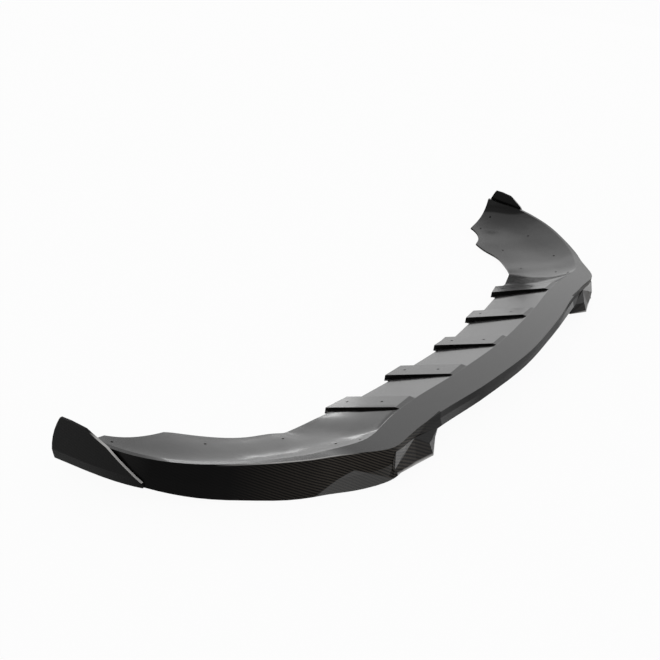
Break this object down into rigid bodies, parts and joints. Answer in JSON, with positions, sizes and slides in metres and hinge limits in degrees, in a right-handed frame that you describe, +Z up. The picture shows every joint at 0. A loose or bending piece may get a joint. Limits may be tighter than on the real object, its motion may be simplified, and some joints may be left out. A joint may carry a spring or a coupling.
{
  "type": "front splitter lip",
  "caption": "Wide one-piece front splitter lip: curved nose flange, sloping ribbed deck, swept wings with upright end fins and faceted corner feet; screws under a bumper.",
  "frame": {"origin": "centre of the footprint's box, on the floor it rests on", "axes": "+X across the car, -Y toward the nose, +Z up"},
  "size_m": [1.901, 0.5122, 0.1215],
  "materials": {
    "laminate": "high-gloss clear coat over dark twill laminate"
  },
  "bodies": {
    "root": {"splitter_lip": "laminate"}
  },
  "joints": []
}
